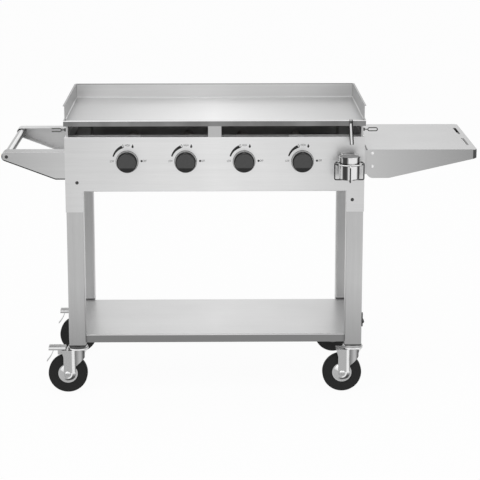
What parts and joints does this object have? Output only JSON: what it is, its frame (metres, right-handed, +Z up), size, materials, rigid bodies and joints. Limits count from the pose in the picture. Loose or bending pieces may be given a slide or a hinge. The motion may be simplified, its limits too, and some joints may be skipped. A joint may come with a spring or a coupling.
{
  "type": "flat top gas barbecue",
  "caption": "Flat top gas barbecue: griddle plate with splash guards over a burner body on a castor trolley, with side shelf, push handle, storage shelf and grease cup.",
  "frame": {"origin": "centre of the overall box on the floor under the tyres", "axes": "+X to the right seen from the front, towards the side shelf; +Y to the back, away from the knobs; +Z up"},
  "size_m": [1.507, 0.605, 0.947],
  "materials": {
    "panel_steel": "fine brushed grain along the front",
    "griddle_steel": "ground plate, satin",
    "guard_steel": "satin",
    "leg_steel": "brushed along the leg",
    "shelf_steel": "brushed along the shelf",
    "bright_wire": "bright plated",
    "tinplate": "bright tinplate",
    "burner_steel": "satin",
    "valve_brass": "satin",
    "black_pipe": "satin black",
    "stem_aluminium": "machined",
    "knob_plastic": "matt dark grey",
    "clip_plastic": "matt black",
    "hub_steel": "pressed and bright plated",
    "castor_tyre": "matt dark rubber",
    "castor_zinc": "zinc plated"
  },
  "bodies": {
    "trolley": {"bottom_shelf": "shelf_steel", "burner_1": "burner_steel", "burner_2": "burner_steel", "burner_3": "burner_steel", "burner_4": "burner_steel", "burner_tray": "burner_steel", "castor_heads": "castor_zinc", "cup_holder": "bright_wire", "dome_bolts": "bright_wire", "front_handle_bracket": "shelf_steel", "front_left_leg": "leg_steel", "front_panel": "panel_steel", "front_right_leg": "leg_steel", "gas_inlet": "valve_brass", "gas_manifold": "black_pipe", "gas_valves": "valve_brass", "griddle_bars": "guard_steel", "handle_tube": "bright_wire", "hose_clip": "clip_plastic", "knob_bezels": "panel_steel", "left_side_panel": "panel_steel", "rear_handle_bracket": "shelf_steel", "rear_left_leg": "leg_steel", "rear_panel": "panel_steel", "rear_right_leg": "leg_steel", "right_side_panel": "panel_steel", "shelf_brackets": "shelf_steel", "side_shelf": "shelf_steel", "tool_hooks": "bright_wire"},
    "griddle": {"griddle_plate": "griddle_steel", "splash_guard": "guard_steel", "drain_spout": "griddle_steel"},
    "grease_cup": {"grease_cup": "tinplate"},
    "stem_1": {"valve_stem_1": "stem_aluminium"},
    "knob_1": {"knob_1": "knob_plastic"},
    "stem_2": {"valve_stem_2": "stem_aluminium"},
    "knob_2": {"knob_2": "knob_plastic"},
    "stem_3": {"valve_stem_3": "stem_aluminium"},
    "knob_3": {"knob_3": "knob_plastic"},
    "stem_4": {"valve_stem_4": "stem_aluminium"},
    "knob_4": {"knob_4": "knob_plastic"},
    "front_left_castor": {"front_left_castor_fork": "castor_zinc", "front_left_castor_axle": "castor_zinc"},
    "front_left_wheel": {"front_left_castor_hub": "hub_steel", "front_left_castor_tyre": "castor_tyre"},
    "front_left_brake": {"front_left_brake_pedal": "castor_zinc"},
    "front_right_castor": {"front_right_castor_fork": "castor_zinc", "front_right_castor_axle": "castor_zinc"},
    "front_right_wheel": {"front_right_castor_hub": "hub_steel", "front_right_castor_tyre": "castor_tyre"},
    "rear_left_castor": {"rear_left_castor_fork": "castor_zinc", "rear_left_castor_axle": "castor_zinc"},
    "rear_left_wheel": {"rear_left_castor_hub": "hub_steel", "rear_left_castor_tyre": "castor_tyre"},
    "rear_left_brake": {"rear_left_brake_pedal": "castor_zinc"},
    "rear_right_castor": {"rear_right_castor_fork": "castor_zinc", "rear_right_castor_axle": "castor_zinc"},
    "rear_right_wheel": {"rear_right_castor_hub": "hub_steel", "rear_right_castor_tyre": "castor_tyre"}
  },
  "joints": [
    {"name": "griddle_lift", "type": "slide", "parent": "trolley", "child": "griddle", "axis": [0, 0, 1], "range_m": [0, 0.1]},
    {"name": "cup_lift", "type": "slide", "parent": "trolley", "child": "grease_cup", "axis": [0, 0, 1], "range_m": [0, 0.03]},
    {"name": "knob_1_turn", "type": "hinge", "parent": "trolley", "child": "stem_1", "pos_m": [-0.3563, -0.2045, 0.7675], "axis": [0, 1, 0], "range_deg": [-90, 90]},
    {"name": "knob_1_push", "type": "slide", "parent": "stem_1", "child": "knob_1", "axis": [0, 1, 0], "range_m": [0, 0.0035], "stiffness_N_per_m": 600},
    {"name": "knob_2_turn", "type": "hinge", "parent": "trolley", "child": "stem_2", "pos_m": [-0.1711, -0.2045, 0.7675], "axis": [0, 1, 0], "range_deg": [-90, 90]},
    {"name": "knob_2_push", "type": "slide", "parent": "stem_2", "child": "knob_2", "axis": [0, 1, 0], "range_m": [0, 0.0035], "stiffness_N_per_m": 600},
    {"name": "knob_3_turn", "type": "hinge", "parent": "trolley", "child": "stem_3", "pos_m": [0.0141, -0.2045, 0.7675], "axis": [0, 1, 0], "range_deg": [-90, 90]},
    {"name": "knob_3_push", "type": "slide", "parent": "stem_3", "child": "knob_3", "axis": [0, 1, 0], "range_m": [0, 0.0035], "stiffness_N_per_m": 600},
    {"name": "knob_4_turn", "type": "hinge", "parent": "trolley", "child": "stem_4", "pos_m": [0.1993, -0.2045, 0.7675], "axis": [0, 1, 0], "range_deg": [-90, 90]},
    {"name": "knob_4_push", "type": "slide", "parent": "stem_4", "child": "knob_4", "axis": [0, 1, 0], "range_m": [0, 0.0035], "stiffness_N_per_m": 600},
    {"name": "front_left_swivel", "type": "hinge", "parent": "trolley", "child": "front_left_castor", "pos_m": [-0.525, -0.176, 0.15], "axis": [0, 0, 1], "continuous": true},
    {"name": "front_left_roll", "type": "hinge", "parent": "front_left_castor", "child": "front_left_wheel", "pos_m": [-0.559, -0.176, 0.0635], "axis": [0, 1, 0], "continuous": true},
    {"name": "front_left_brake_press", "type": "hinge", "parent": "front_left_castor", "child": "front_left_brake", "pos_m": [-0.571, -0.176, 0.137], "axis": [0, -1, 0], "range_deg": [0, 10]},
    {"name": "front_right_swivel", "type": "hinge", "parent": "trolley", "child": "front_right_castor", "pos_m": [0.368, -0.176, 0.15], "axis": [0, 0, 1], "continuous": true},
    {"name": "front_right_roll", "type": "hinge", "parent": "front_right_castor", "child": "front_right_wheel", "pos_m": [0.334, -0.176, 0.0635], "axis": [0, 1, 0], "continuous": true},
    {"name": "rear_left_swivel", "type": "hinge", "parent": "trolley", "child": "rear_left_castor", "pos_m": [-0.525, 0.269, 0.15], "axis": [0, 0, 1], "continuous": true},
    {"name": "rear_left_roll", "type": "hinge", "parent": "rear_left_castor", "child": "rear_left_wheel", "pos_m": [-0.559, 0.269, 0.0635], "axis": [0, 1, 0], "continuous": true},
    {"name": "rear_left_brake_press", "type": "hinge", "parent": "rear_left_castor", "child": "rear_left_brake", "pos_m": [-0.571, 0.269, 0.137], "axis": [0, -1, 0], "range_deg": [0, 10]},
    {"name": "rear_right_swivel", "type": "hinge", "parent": "trolley", "child": "rear_right_castor", "pos_m": [0.368, 0.269, 0.15], "axis": [0, 0, 1], "continuous": true},
    {"name": "rear_right_roll", "type": "hinge", "parent": "rear_right_castor", "child": "rear_right_wheel", "pos_m": [0.334, 0.269, 0.0635], "axis": [0, 1, 0], "continuous": true}
  ]
}
